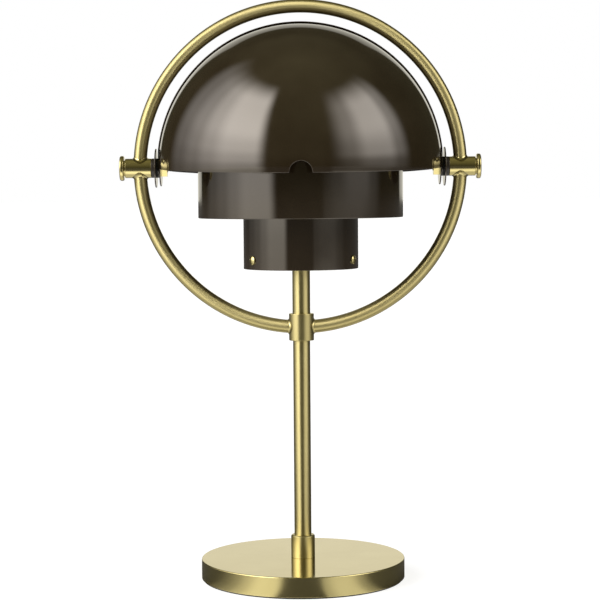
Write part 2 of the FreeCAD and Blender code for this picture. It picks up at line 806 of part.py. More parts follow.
for side in SIDES:
    barrel = turned("barrel_blank_" + side, [
        ("bolt_bore", "barrel_inner"),
        ("barrel_radius - barrel_chamfer", "barrel_inner"),
        ("barrel_radius", "barrel_inner + barrel_chamfer"),
        ("barrel_radius", "barrel_outer - barrel_chamfer"),
        ("barrel_radius - barrel_chamfer", "barrel_outer"),
        ("bolt_bore", "barrel_outer"),
    ])
    add_flares(barrel, "barrel_radius",
               "sqrt(ring_radius ^ 2 - (barrel_radius + braze_reach) ^ 2)")
    on_pivot(barrel, side)
    without_ring_space(barrel, "pivot_barrel_" + side)

    bolt = turned("pivot_bolt_" + side, [
        ("0", "nut_inner - bolt_end_length"),
        ("bolt_radius", "nut_inner - bolt_end_length"),
        ("bolt_radius", "barrel_outer"),
        ("bolt_neck_diameter / 2", "barrel_outer"),
        ("bolt_neck_diameter / 2", "bolt_head_base"),
        ("bolt_head_diameter / 2 - bolt_head_round", "bolt_head_base"),
        ("bolt_head_diameter / 2", "bolt_head_base + bolt_head_round",
         "bolt_head_diameter / 2 - bolt_head_round", "bolt_head_base + bolt_head_round", 1),
        ("bolt_head_diameter / 2", "bolt_head_end - bolt_head_round"),
        ("bolt_head_diameter / 2 - bolt_head_round", "bolt_head_end",
         "bolt_head_diameter / 2 - bolt_head_round", "bolt_head_end - bolt_head_round", 1),
        ("0", "bolt_head_end"),
    ])
    keep(on_pivot(bolt, side), "pivot_bolt_" + side)

    rings = {
        "outer_spacer": ("washer_diameter / 2", "disc_outer", "barrel_inner"),
        "pivot_disc": ("disc_diameter / 2", "disc_inner", "disc_outer"),
        "shade_washer": ("washer_diameter / 2", "back_flat + face_gap", "disc_inner"),
        "friction_washer": ("washer_diameter / 2", "front_flat + face_gap",
                            "back_flat_inside - face_gap"),
    }
    for ring_name, (radius, low, high) in rings.items():
        name = ring_name + "_" + side
        washer = turned(name, rectangle("bolt_bore", radius, low, high))
        keep(on_pivot(washer, side), name)

    nut = hex_nut("pivot_nut_" + side, "pivot_nut_width", "bolt_bore", "nut_inner",
                  "pivot_nut_thickness")
    keep(on_pivot(nut, side), "pivot_nut_" + side)

# Shades


def build_shade(name, radius, crown, flat, ear, rise, turn):
    """A quarter dome that faces +Y, made by turning its sheet about the pivot axis."""
    body = new_body(name)
    sheet_line = new_sketch(body, name + "_profile", "XY_Plane")
    inner_radius = "(%s - shade_thickness)" % radius
    inside = "(%s - shade_thickness)" % flat
    outer_edge = "%s + sqrt(%s ^ 2 - %s ^ 2)" % (crown, radius, flat)
    inner_edge = "%s + sqrt(%s ^ 2 - %s ^ 2)" % (crown, inner_radius, inside)
    draw(sheet_line, [
        (flat, "bolt_bore"),
        (flat, outer_edge),
        ("-" + flat, outer_edge, "0", crown, 1),
        ("-" + flat, "bolt_bore"),
        ("-" + inside, "bolt_bore"),
        ("-" + inside, inner_edge),
        (inside, inner_edge, "0", crown, -1),
        (inside, "bolt_bore"),
    ])
    dome = revolve(body, sheet_line, name + "_dome", "H_Axis")
    dome.Type = "TwoAngles"
    dome.setExpression("Angle", written_out(rise))
    dome.setExpression("Angle2", written_out("shade_droop"))
    ears = new_sketch(body, name + "_ear_profile", "XY_Plane")
    draw(ears, rectangle(inside, flat, "bolt_bore", ear))
    draw(ears, rectangle("-" + flat, "-" + inside, "bolt_bore", ear))
    revolve(body, ears, name + "_ears", "H_Axis")
    notch = new_sketch(body, name + "_notch_outline", "XZ_Plane")
    draw(notch, [
        ("notch_radius", "-notch_width"),
        ("notch_radius", "notch_middle"),
        ("-notch_radius", "notch_middle", "0", "notch_middle", 1),
        ("-notch_radius", "-notch_width"),
    ])
    cut_away(body, notch, name + "_notch", radius + " + " + crown + " + cut_overrun")
    place(body, z="pivot_height", turn=rotation("z", turn))
    return keep(body, name)


build_shade("back_shade", "back_shade_radius", "back_shade_crown", "back_flat",
            "washer_diameter / 2", "shade_sweep", 0)
build_shade("front_shade", "front_shade_radius", "front_shade_crown", "front_flat",
            "disc_diameter / 2", "shade_sweep + shade_overlap", 180)

# Lamp head

screw_turn_text = "screw_turn - 30"

housing = turned("head_housing", [
    ("housing_inner_radius", "housing_bottom"),
    ("housing_radius", "housing_bottom"),
    ("housing_radius", "drum_bottom"),
    ("housing_flange_bore", "drum_bottom"),
    ("housing_flange_bore", "flange_bottom"),
    ("housing_inner_radius", "flange_bottom"),
])
cross_holes(housing, "side_hole", "housing_screw_radius + screw_hole_gap",
            "housing_screw_level", "housing_radius", "2 * housing_wall", HOUSING_SCREWS)
upright_holes(housing, "top_hole", "drum_screw_radius + screw_hole_gap",
              "drum_screw_circle", "0", "drum_bottom", "housing_wall + cut_overrun",
              DRUM_SCREWS)
place(housing, turn=rotation("z", screw_turn_text))
keep(housing, "head_housing")

carrier = turned("head_carrier", [
    ("stem_thread_radius + stem_fit", "carrier_bottom"),
    ("carrier_radius", "carrier_bottom"),
    ("carrier_radius", "carrier_top + carrier_skirt_height"),
    ("carrier_radius - carrier_skirt_wall", "carrier_top + carrier_skirt_height"),
    ("carrier_radius - carrier_skirt_wall", "carrier_top"),
    ("stem_thread_radius + stem_fit", "carrier_top"),
])
cross_holes(carrier, "side_thread", "housing_screw_radius + thread_gap",
            "housing_screw_level", "carrier_radius", "2 * carrier_skirt_wall",
            HOUSING_SCREWS)
place(carrier, turn=rotation("z", screw_turn_text))
keep(carrier, "head_carrier")

keep(hex_nut("head_nut", "stem_nut_width", "stem_thread_radius + stem_fit",
             "carrier_top", "head_nut_thickness"), "head_nut")

screws = []
for k in range(HOUSING_SCREWS):
    screw = turned("housing_screw", [
        ("0", "housing_radius - housing_screw_length"),
        ("housing_screw_radius", "housing_radius - housing_screw_length"),
        ("housing_screw_radius", "housing_radius"),
        ("housing_screw_head", "housing_radius"),
        ("housing_screw_head", "housing_radius + housing_screw_rim"),
        ("0", "screw_head_top", "0", "screw_head_top - screw_dome_radius", 1),
    ])
    slot = new_sketch(screw, "slot_outline", "XY_Plane",
                      ("0", "0", "screw_head_top + cut_overrun"))
    draw(slot, rectangle("-housing_screw_head - cut_overrun", "housing_screw_head + cut_overrun",
                         "-screw_slot_width / 2", "screw_slot_width / 2"))
    cut_away(screw, slot, "slot", "cut_overrun + screw_slot_depth")
    azimuth = "%s + %d" % (screw_turn_text, 360 // HOUSING_SCREWS * k)
    place(screw, z="housing_screw_level",
          turn=rotation("z", azimuth) + " * " + rotation("y", 90))
    screws.append(screw)
collected("housing_screws", screws)

drum = turned("drum", [
    ("cable_bore", "drum_bottom"),
    ("drum_radius", "drum_bottom"),
    ("drum_radius", "drum_top"),
    ("drum_inner_radius", "drum_top"),
    ("drum_inner_radius", "drum_floor_top"),
    ("cable_bore", "drum_floor_top"),
])
upright_holes(drum, "floor_hole", "drum_screw_radius + screw_hole_gap",
              "drum_screw_circle", "0", "drum_floor_top", "drum_floor + cut_overrun",
              DRUM_SCREWS)
place(drum, turn=rotation("z", screw_turn_text))
keep(drum, "drum")

heat_sink = turned("heat_sink", rectangle(
    "cable_bore", "sink_radius", "drum_floor_top", "sink_top"))
slot = new_sketch(heat_sink, "fin_slot_outline", "XY_Plane",
                  ("0", "0", "sink_top + cut_overrun"))
draw(slot, rectangle("sink_radius - sink_slot_depth", "sink_radius + cut_overrun",
                     "-sink_slot_width / 2", "sink_slot_width / 2"))
fin_slot = cut_away(heat_sink, slot, "fin_slot", "sink_height + 2 * cut_overrun")
repeat(heat_sink, fin_slot, "fin_slots", SINK_SLOTS)
upright_holes(heat_sink, "thread_hole", "drum_screw_radius + thread_gap",
              "drum_screw_circle", "0", "drum_floor_top + drum_screw_grip + hole_spare_depth",
              "drum_screw_grip + hole_spare_depth + cut_overrun", DRUM_SCREWS)
place(heat_sink, turn=rotation("z", screw_turn_text))
keep(heat_sink, "heat_sink")

screws = []
for k in range(DRUM_SCREWS):
    azimuth = "(%s + %d)" % (screw_turn_text, 360 // DRUM_SCREWS * k)
    screw = turned("drum_screw", [
        ("0", "flange_bottom - drum_screw_head_height + screw_recess_depth"),
        ("screw_recess_radius", "flange_bottom - drum_screw_head_height"),
        ("drum_screw_head", "flange_bottom - drum_screw_head_height"),
        ("drum_screw_head", "flange_bottom"),
        ("drum_screw_radius", "flange_bottom"),
        ("drum_screw_radius", "drum_floor_top + drum_screw_grip"),
        ("0", "drum_floor_top + drum_screw_grip"),
    ])
    place(screw, "drum_screw_circle * cos(%s)" % azimuth,
          "drum_screw_circle * sin(%s)" % azimuth)
    screws.append(screw)
collected("drum_screws", screws)

keep(turned("led_board", rectangle("0", "led_board_radius", "sink_top", "led_board_top")),
     "led_board")

chips = []
for k in range(CHIPS):
    chip = doc.addObject("Part::Box", "chip")
    for edge, text in (("Length", "chip_size"), ("Width", "chip_size"),
                       ("Height", "chip_height")):
        chip.setExpression(edge, written_out(text))
    azimuth = str(360 // CHIPS * k)
    place(chip, "(chip_circle - chip_size / 2) * cos(%s) + chip_size / 2 * sin(%s)"
          % (azimuth, azimuth),
          "(chip_circle - chip_size / 2) * sin(%s) - chip_size / 2 * cos(%s)"
          % (azimuth, azimuth),
          "led_board_top", rotation("z", azimuth))
    chips.append(chip)
collected("led_chips", chips)

keep(turned("diffuser_ring", [
    ("liner_radius - liner_wall", "drum_floor_top"),
    ("liner_radius", "drum_floor_top"),
    ("liner_radius", "liner_top"),
    ("liner_radius - liner_wall - liner_lip_width", "liner_top"),
    ("liner_radius - liner_wall - liner_lip_width", "liner_top - liner_lip_thickness"),
    ("liner_radius - liner_wall", "liner_top - liner_lip_thickness"),
]), "diffuser_ring")

keep(turned("diffuser", [
    ("0", "liner_top"),
    ("liner_radius", "liner_top"),
    ("liner_radius", "diffuser_top - diffuser_chamfer"),
    ("liner_radius - diffuser_chamfer", "diffuser_top"),
    ("0", "diffuser_top"),
]), "diffuser")

# Files

doc.recompute()

for item in doc.Objects:
    if "Invalid" in item.State or "Error" in item.State:
        raise RuntimeError("%s (%s) failed: %s" % (item.Label, item.Name, item.State))

os.makedirs("parts", exist_ok=True)
for item in pieces:
    shape = item.Shape
    if shape.isNull() or not shape.isValid() or not shape.Solids:
        raise RuntimeError("%s has no sound solid" % item.Label)
    shape.exportStep("parts/%s.step" % item.Label)
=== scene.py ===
import json
import math

import bpy
import numpy as np
from mathutils import Matrix, Vector
from mathutils.geometry import delaunay_2d_cdt


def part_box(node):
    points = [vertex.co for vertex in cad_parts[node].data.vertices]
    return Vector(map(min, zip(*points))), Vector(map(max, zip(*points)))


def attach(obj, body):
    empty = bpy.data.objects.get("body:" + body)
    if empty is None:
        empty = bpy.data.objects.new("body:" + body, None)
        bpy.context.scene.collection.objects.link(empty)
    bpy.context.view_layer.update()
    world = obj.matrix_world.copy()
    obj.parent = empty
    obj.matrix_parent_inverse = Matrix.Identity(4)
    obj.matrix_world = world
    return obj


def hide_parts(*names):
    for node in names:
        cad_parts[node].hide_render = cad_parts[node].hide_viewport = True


# Portable table lamp. Lengths in the shape code are millimetres, and every mesh
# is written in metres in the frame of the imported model: Z up, the front at -Y.

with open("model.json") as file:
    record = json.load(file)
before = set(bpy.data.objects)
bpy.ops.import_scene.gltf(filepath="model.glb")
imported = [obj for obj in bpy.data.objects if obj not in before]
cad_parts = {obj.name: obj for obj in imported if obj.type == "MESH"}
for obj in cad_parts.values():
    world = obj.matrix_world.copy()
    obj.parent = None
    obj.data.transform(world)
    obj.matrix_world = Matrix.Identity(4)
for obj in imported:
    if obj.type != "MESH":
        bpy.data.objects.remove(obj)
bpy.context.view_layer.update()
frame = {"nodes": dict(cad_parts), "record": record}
nodes = frame["nodes"]
slots = {row["node"]: row["material_slot"] for row in frame["record"]["subparts"]}
scene = bpy.context.scene

MM = 0.001
NEAR = 1e-6
TINY = 1e-12
DEGREES_A_RADIAN = 180 / math.pi
PIVOT_Z = 249.0
SIDES = {"left": -1, "right": 1}
X, Y, Z = np.eye(3)
PIVOT = PIVOT_Z * Z


def extent(node):
    """Lowest and highest corner of a node, in millimetres."""
    low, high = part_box(node)
    return np.array(low) / MM, np.array(high) / MM


# Node trees

class Nodes:
    """Short hand for building a node tree."""

    def __init__(self, tree, output):
        self.tree = tree
        tree.nodes.clear()
        self.output = self.add(output)

    def add(self, kind, **settings):
        node = self.tree.nodes.new(kind)
        for name, value in settings.items():
            setattr(node, name, value)
        return node

    def link(self, source, target):
        self.tree.links.new(source, target)

    def put(self, value, socket):
        """Links a socket to another one, or sets a constant on it."""
        if isinstance(value, bpy.types.NodeSocket):
            self.link(value, socket)
        else:
            socket.default_value = value

    def place(self):
        """The point in the piece's own coordinates, in metres."""
        return self.add("ShaderNodeTexCoord").outputs["Object"]

    def split(self, vector):
        """The three coordinates of a vector."""
        node = self.add("ShaderNodeSeparateXYZ")
        self.link(vector, node.inputs[0])
        return node.outputs

    def noise(self, scale, detail):
        node = self.add("ShaderNodeTexNoise")
        node.inputs["Scale"].default_value = scale
        node.inputs["Detail"].default_value = detail
        self.link(self.place(), node.inputs["Vector"])
        return node.outputs["Fac"]

    def span(self, value, low, high, start=0.3, stop=0.7):
        """Runs from low at start to high at stop, and stays level beyond them."""
        node = self.add("ShaderNodeMapRange")
        for name, number in (("From Min", start), ("From Max", stop),
                             ("To Min", low), ("To Max", high)):
            node.inputs[name].default_value = number
        self.link(value, node.inputs["Value"])
        return node.outputs["Result"]

    def profile(self, value, stops, low, high):
        """A smooth curve through (value, level) stops."""
        position = self.add("ShaderNodeMapRange")
        position.inputs["From Min"].default_value = low
        position.inputs["From Max"].default_value = high
        self.link(value, position.inputs["Value"])
        ramp = self.add("ShaderNodeValToRGB")
        ramp.color_ramp.interpolation = "EASE"
        elements = ramp.color_ramp.elements
        while len(elements) < len(stops):
            elements.new(0.5)
        for element, (place, level) in zip(elements, stops):
            element.position = (place - low) / (high - low)
        for element, (place, level) in zip(elements, stops):
            element.color = (level, level, level, 1)
        self.link(position.outputs["Result"], ramp.inputs["Fac"])
        return ramp.outputs["Color"]

    def blend(self, factor, first, second):
        node = self.add("ShaderNodeMix", data_type="RGBA")
        sockets = [s for s in node.inputs if s.type == "RGBA"]
        self.link(factor, node.inputs[0])
        sockets[0].default_value = (*first, 1)
        sockets[1].default_value = (*second, 1)
        return [s for s in node.outputs if s.type == "RGBA"][0]

    def bump(self, height, strength, distance):
        node = self.add("ShaderNodeBump")
        node.inputs["Strength"].default_value = strength
        node.inputs["Distance"].default_value = distance
        self.link(height, node.inputs["Height"])
        return node.outputs["Normal"]

    def maths(self, operation, first, second=0.0):
        node = self.add("ShaderNodeMath", operation=operation)
        self.put(first, node.inputs[0])
        self.put(second, node.inputs[1])
        return node.outputs[0]

    def product(self, first, second):
        return self.maths("MULTIPLY", first, second)

    def vector(self, operation, *values):
        node = self.add("ShaderNodeVectorMath", operation=operation)
        for value, socket in zip(values, node.inputs):
            self.put(value, socket)
        return node.outputs["Vector"]

    def azimuth(self, x, y):
        """Degrees about the vertical: 0 at the front, and more towards +X."""
        return self.product(self.maths("ARCTAN2", x, self.product(y, -1.0)),
                            DEGREES_A_RADIAN)

    def principled(self, **settings):
        shader = self.add("ShaderNodeBsdfPrincipled")
        for name, value in settings.items():
            self.put(value, shader.inputs[name.replace("_", " ")])
        return shader.outputs["BSDF"]

    def total(self, shaders):
        """Several shaders added up."""
        so_far = shaders[0]
        for shader in shaders[1:]:
            node = self.add("ShaderNodeAddShader")
            self.link(so_far, node.inputs[0])
            self.link(shader, node.inputs[1])
            so_far = node.outputs[0]
        return so_far

    def for_camera(self, seen, otherwise):
        """One shader for camera rays, and another for all other rays."""
        node = self.add("ShaderNodeMixShader")
        self.link(self.add("ShaderNodeLightPath").outputs["Is Camera Ray"], node.inputs[0])
        self.link(otherwise, node.inputs[1])
        self.link(seen, node.inputs[2])
        return node.outputs[0]


# Materials

BRASS_TONES = ((0.51, 0.435, 0.19), (0.55, 0.475, 0.22))
COVER_SIDE_ROUGH = 0.21
COVER_TOP_ROUGH = 0.09
COVER_GRAIN_ROUGH = 0.02
LACQUER_TONES = ((0.015, 0.0095, 0.0045), (0.021, 0.0145, 0.0075))
LACQUER_IOR = 1.8
LACQUER_TINT = (1, 0.93, 0.82, 1)


def finish_of(name, build):
    material = bpy.data.materials.new(name)
    material.use_nodes = True
    n = Nodes(material.node_tree, "ShaderNodeOutputMaterial")
    n.link(build(n), n.output.inputs["Surface"])
    return material


def brass_metal(n):
    """What all brass shares: very fine grain under a faint cloudy tarnish.

    Gives the shader's settings, and the grain for the roughness.
    """
    cloud = n.noise(45, detail=4.0)
    grain = n.noise(900, detail=2.0)
    settings = {
        "Base_Color": n.blend(n.span(cloud, 0, 1), *BRASS_TONES),
        "Metallic": 1.0,
        "Normal": n.bump(grain, strength=0.01, distance=0.00001),
    }
    return settings, grain


def brass(name, rough, spread=0.0, along=None):
    """Satin brass.

    Spread draws the highlights out along the piece, and along gives that direction.
    """

    def build(n):
        settings, grain = brass_metal(n)
        if along:
            settings["Tangent"] = along(n)
        return n.principled(Roughness=n.span(grain, *rough), Anisotropic=spread, **settings)

    return finish_of(name, build)


def upwards(n):
    """The direction of the stem."""
    return n.vector("NORMALIZE", (0.0, 0.0, 1.0))


def round_the_ring(n):
    """The direction of the ring's tube."""
    spoke = n.vector("SUBTRACT", n.place(), (0.0, 0.0, PIVOT_Z * MM))
    return n.vector("NORMALIZE", n.vector("CROSS_PRODUCT", spoke, (0.0, 1.0, 0.0)))


def cover_brass(n):
    """The foot: polished top, turned side."""
    upward = n.split(n.add("ShaderNodeNewGeometry").outputs["Normal"])[2]
    settings, grain = brass_metal(n)
    rough = n.span(upward, COVER_SIDE_ROUGH, COVER_TOP_ROUGH, start=0.5, stop=0.95)
    return n.principled(
        Roughness=n.maths("ADD", rough, n.span(grain, 0.0, COVER_GRAIN_ROUGH)), **settings)


def lacquer(n):
    """Smooth dark brown lacquer on metal, with faint orange peel."""
    cloud = n.noise(60, detail=3.0)
    peel = n.noise(420, detail=2.0)
    return n.principled(
        Base_Color=n.blend(n.span(cloud, 0, 1), *LACQUER_TONES),
        Roughness=n.span(cloud, 0.06, 0.09), IOR=LACQUER_IOR, Specular_Tint=LACQUER_TINT,
        Normal=n.bump(peel, strength=0.06, distance=0.00003))


def grained(name, tones, rough, scale, metallic=0.0, depth=0.00003):
    """A finish whose colour, gloss and surface follow its own grain."""

    def build(n):
        cloud = n.noise(scale, detail=4.0)
        grain = n.noise(scale * 9, detail=2.0)
        return n.principled(
            Base_Color=n.blend(n.span(cloud, 0, 1), *tones), Metallic=metallic,
            Roughness=n.span(grain, *rough),
            Normal=n.bump(grain, strength=0.3, distance=depth))

    return finish_of(name, build)


FINISHES = {"satin_brass": brass("satin_brass", (0.16, 0.18))}
TURNED_BRASS = brass("satin_brass_turned", (0.29, 0.31))
STEM_BRASS = brass("satin_brass_stem", (0.29, 0.31), spread=0.7, along=upwards)
RING_BRASS = brass("satin_brass_ring", (0.43, 0.45), spread=0.95, along=round_the_ring)
FOOT_BRASS = finish_of("satin_brass_foot", cover_brass)
FINISHES["dark_lacquer"] = finish_of("dark_lacquer", lacquer)
GRAINED = {
    "dark_spacer": {"tones": ((0.018, 0.012, 0.007), (0.024, 0.017, 0.010)),
                    "rough": (0.35, 0.45), "scale": 200},
    "black_plastic": {"tones": ((0.018, 0.018, 0.018), (0.026, 0.026, 0.026)),
                      "rough": (0.45, 0.6), "scale": 300},
    "black_rubber": {"tones": ((0.017, 0.016, 0.014), (0.026, 0.024, 0.021)),
                     "rough": (0.7, 0.85), "scale": 400, "depth": 0.0001},
    "plain_steel": {"tones": ((0.52, 0.52, 0.51), (0.62, 0.62, 0.6)),
                    "rough": (0.25, 0.4), "scale": 90, "metallic": 1.0},
    "grey_iron": {"tones": ((0.09, 0.09, 0.09), (0.16, 0.155, 0.15)),
                  "rough": (0.6, 0.8), "scale": 120, "metallic": 0.6, "depth": 0.0003},
    "bare_aluminium": {"tones": ((0.66, 0.66, 0.67), (0.76, 0.76, 0.77)),
                       "rough": (0.25, 0.4), "scale": 120, "metallic": 1.0},
    "green_board": {"tones": ((0.02, 0.13, 0.05), (0.03, 0.2, 0.08)),
                    "rough": (0.35, 0.5), "scale": 200},
    "cell_wrap": {"tones": ((0.38, 0.38, 0.4), (0.46, 0.46, 0.48)),
                  "rough": (0.3, 0.4), "scale": 80},
    "cable_sheath": {"tones": ((0.5, 0.5, 0.48), (0.6, 0.6, 0.57)),
                     "rough": (0.5, 0.6), "scale": 200},
    "white_plastic": {"tones": ((0.76, 0.76, 0.74), (0.83, 0.83, 0.81)),
                      "rough": (0.4, 0.5), "scale": 90},
    "opal_plastic": {"tones": ((0.86, 0.85, 0.81), (0.9, 0.89, 0.86)),
                     "rough": (0.3, 0.38), "scale": 60},
    "chip_yellow": {"tones": ((0.7, 0.56, 0.1), (0.8, 0.66, 0.16)),
                    "rough": (0.4, 0.5), "scale": 500},
}
for finish_name, finish_settings in GRAINED.items():
    FINISHES[finish_name] = grained(finish_name, **finish_settings)
for node_name, node in nodes.items():
    for material_slot in node.material_slots:
        material_slot.material = FINISHES[slots[node_name]]


# Meshes

ROUND_STEP = 15
ROUND_SHARE = 0.49


def add_piece(node, shape, body="stand", material=None):
    """A piece that stands for a node, from its points, normals and faces.

    Faces are turned to agree with the normals.
    """
    points, normals, faces = shape
    points = np.array(points, float)
    normals = np.array(normals, float)
    normals /= np.maximum(np.linalg.norm(normals, axis=1), TINY)[:, None]
    facing = []
    for face in faces:
        corners = points[face]
        across = np.cross(corners[2] - corners[0], corners[-1] - corners[1])
        if len(face) == 3:
            across = np.cross(corners[1] - corners[0], corners[2] - corners[0])
        facing.append(face if across @ normals[face].sum(0) >= 0 else face[::-1])
    mesh = bpy.data.meshes.new(node + "_form")
    mesh.from_pydata((points * MM).tolist(), [], facing)
    mesh.polygons.foreach_set("use_smooth", [True] * len(mesh.polygons))
    mesh.normals_split_custom_set_from_vertices(normals.tolist())
    mesh.materials.append(material or FINISHES[slots[node]])
    mesh.update()
    piece = bpy.data.objects.new(node + "_form", mesh)
    scene.collection.objects.link(piece)
    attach(piece, body)
    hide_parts(node)
    return piece


def joined(*shapes):
    """Several shapes as one."""
    points, normals, faces = [], [], []
    for more_points, more_normals, more_faces in shapes:
        shift = len(points)
        points += list(more_points)
        normals += list(more_normals)
        faces += [[v + shift for v in face] for face in more_faces]
    return points, normals, faces


def outline_of(corners, closed):
    """Outline points (r, h, normal r, normal h) from corners (r, h, round).

    The outline runs with the solid on its left.
    """
    spots = [np.array(c[:2], float) for c in corners]
    count = len(spots)
    outline = []
    for k, here in enumerate(spots):
        if not closed and k in (0, count - 1):
            a, b = (spots[0], spots[1]) if k == 0 else (spots[-2], spots[-1])
            d = (b - a) / np.linalg.norm(b - a)
            outline.append((*here, d[1], -d[0]))
            continue
        before, after = here - spots[k - 1], spots[(k + 1) % count] - here
        room = ROUND_SHARE * min(np.linalg.norm(before), np.linalg.norm(after))
        first = before / np.linalg.norm(before)
        second = after / np.linalg.norm(after)
        turn = math.atan2(first[0] * second[1] - first[1] * second[0], first @ second)
        size = min(corners[k][2], room / math.tan(abs(turn) / 2))
        side = math.copysign(size, turn)
        centre = here - first * size * math.tan(abs(turn) / 2)
        centre += side * np.array([-first[1], first[0]])
        steps = max(2, math.ceil(abs(math.degrees(turn)) / ROUND_STEP))
        for i in range(steps + 1):
            c, s = math.cos(turn * i / steps), math.sin(turn * i / steps)
            normal = np.array([first[0] * s + first[1] * c, first[1] * s - first[0] * c])
            outline.append((*(centre + side * normal), *normal))
    return outline


def turned(corners, closed=True, origin=np.zeros(3), along=Z, around=192):
    """A shape turned about a line through the origin, from (r, h, round) corners."""
    across = np.cross(Y, along) if abs(along[1]) < 0.5 else np.cross(along, Z)
    third = np.cross(along, across)
    points, normals, rows = [], [], []
    for r, h, nr, nh in outline_of(corners, closed):
        if r < NEAR:
            rows.append([len(points)] * around)
            points.append(origin + h * along)
            normals.append(math.copysign(1.0, nh) * along)
            continue
        rows.append(list(range(len(points), len(points) + around)))
        for j in range(around):
            a = 2 * math.pi * j / around
            out = math.cos(a) * across + math.sin(a) * third
            points.append(origin + r * out + h * along)
            normals.append(nr * out + nh * along)
    faces = []
    for i in range(len(rows) if closed else len(rows) - 1):
        low, high = rows[i], rows[(i + 1) % len(rows)]
        for j in range(around):
            k = (j + 1) % around
            face = list(dict.fromkeys((low[j], low[k], high[k], high[j])))
            if len(face) > 2:
                faces.append(face)
    return points, normals, faces


def lathe(node, corners, closed=True, material=None, **place):
    return add_piece(node, turned(corners, closed, **place), material=material)


# Foot

cover_low, cover_high = extent("base_cover")
COVER_R, COVER_TOP, COVER_FOOT = cover_high[0], cover_high[2], cover_low[2]
COVER_WALL = 1.5
pad_r = extent("base_pad")[1][0]
stem_low, stem_high = extent("stem_lower")
STEM_R = stem_high[0]
STEM_WALL = 1.2
FIT = 0.05

lathe("base_pad", [
    (0, 0, 0), (pad_r, 0, 0.3), (pad_r, COVER_FOOT, 0.05), (0, COVER_FOOT, 0)],
    closed=False)
COVER = [
    (STEM_R + FIT, COVER_TOP - COVER_WALL, 0.05),
    (COVER_R - COVER_WALL, COVER_TOP - COVER_WALL, 0.3),
    (COVER_R - COVER_WALL, COVER_FOOT, 0.1),
    (COVER_R, COVER_FOOT, 0.25),
    (COVER_R, COVER_TOP, 0.6),
    (STEM_R + FIT, COVER_TOP, 0.05)]
cover = lathe("base_cover", COVER, material=FOOT_BRASS, around=360)

# Each opening at the back of the foot: its middle (x, z), half the length of its
# straight part, and its radius
SOCKET_OPENING = ((8.0, 5.9), 2.9, 1.8)
BUTTON_OPENING = ((-9.0, 6.6), 0.0, 3.08)
OPENINGS = (SOCKET_OPENING, BUTTON_OPENING)
OPENING_STEPS = 24
CUTTER_ENDS = (50.0, 66.0)
WALL_GAP = 0.05
OUTLINE_GAP = 0.02
GAP_PENALTY = 10
LEAST_FIT = 0.6


def opening_normal(x, z, middle, half, size):
    """The normal of an opening's wall at (x, z), or None off the wall."""
    dx = x - middle[0]
    dx -= np.clip(dx, -half, half)
    dz = z - middle[1]
    reach = math.hypot(dx, dz)
    return (-dx / reach, -dz / reach) if abs(reach - size) < WALL_GAP else None


def cut_openings(piece):
    """Cuts the openings for the socket and the button through the cover's side."""
    for (x, z), half, size in OPENINGS:
        rim = []
        for sign in (1, -1):
            for k in range(OPENING_STEPS + 1):
                a = math.pi * (k / OPENING_STEPS - 0.5)
                rim.append((x + sign * (half + size * math.cos(a)), z + sign * size * math.sin(a)))
        rim = list(dict.fromkeys((round(a, 6), round(b, 6)) for a, b in rim))
        count = len(rim)
        points = [(a * MM, y * MM, b * MM) for y in CUTTER_ENDS for a, b in rim]
        faces = [list(range(count))[::-1], list(range(count, 2 * count))]
        faces += [[k, (k + 1) % count, count + (k + 1) % count, count + k]
                  for k in range(count)]
        mesh = bpy.data.meshes.new("cutter")
        mesh.from_pydata(points, [], faces)
        cutter = bpy.data.objects.new("cutter", mesh)
        scene.collection.objects.link(cutter)
        cut = piece.modifiers.new("opening", "BOOLEAN")
        cut.operation, cut.solver, cut.object = "DIFFERENCE", "EXACT", cutter
        bpy.context.view_layer.update()
        shown = piece.evaluated_get(bpy.context.evaluated_depsgraph_get())
        result = bpy.data.meshes.new_from_object(shown)
        piece.modifiers.clear()
        piece.data = result
        bpy.data.objects.remove(cutter)


def set_cover_normals(piece, outline):
    """Normals from the cover's outline, and in the openings from their walls."""
    mesh = piece.data
    start = np.array([o[:2] for o in outline])
    normal = np.array([o[2:] for o in outline])
    span = np.roll(start, -1, 0) - start
    length = np.maximum((span ** 2).sum(1), TINY)
    loops = [None] * len(mesh.loops)
    for face in mesh.polygons:
        for k in face.loop_indices:
            x, y, z = np.array(mesh.vertices[mesh.loops[k].vertex_index].co) / MM
            r = math.hypot(x, y)
            away = np.array((x / r, y / r))
            spot = np.array((r, z))
            share = np.clip(((spot - start) * span).sum(1) / length, 0, 1)
            gap = np.linalg.norm(start + share[:, None] * span - spot, axis=1)
            mixed = normal * (1 - share)[:, None] + np.roll(normal, -1, 0) * share[:, None]
            full = np.c_[mixed[:, :1] * away, mixed[:, 1]]
            fits = full @ np.array(face.normal) - GAP_PENALTY * (gap > OUTLINE_GAP)
            best = int(np.argmax(fits))
            way = full[best]
            if fits[best] < LEAST_FIT:
                found = [opening_normal(x, z, *opening) for opening in OPENINGS]
                found = [f for f in found if f]
                way = (found[0][0], 0, found[0][1]) if found else face.normal
            loops[k] = tuple(Vector(way).normalized())
    mesh.polygons.foreach_set("use_smooth", [True] * len(mesh.polygons))
    mesh.normals_split_custom_set(loops)
    mesh.update()


cut_openings(cover)
set_cover_normals(cover, outline_of(COVER, True))
collar_low, collar_high = extent("stem_collar")
COLLAR_CHAMFER = 0.7
lathe("stem_collar", [
    (STEM_R + FIT, collar_low[2], 0.02),
    (collar_high[0], collar_low[2], 0.15),
    (collar_high[0], collar_high[2] - COLLAR_CHAMFER, 0.25),
    (collar_high[0] - COLLAR_CHAMFER, collar_high[2], 0.15),
    (STEM_R + FIT, collar_high[2], 0.02)], material=TURNED_BRASS)

# Stem

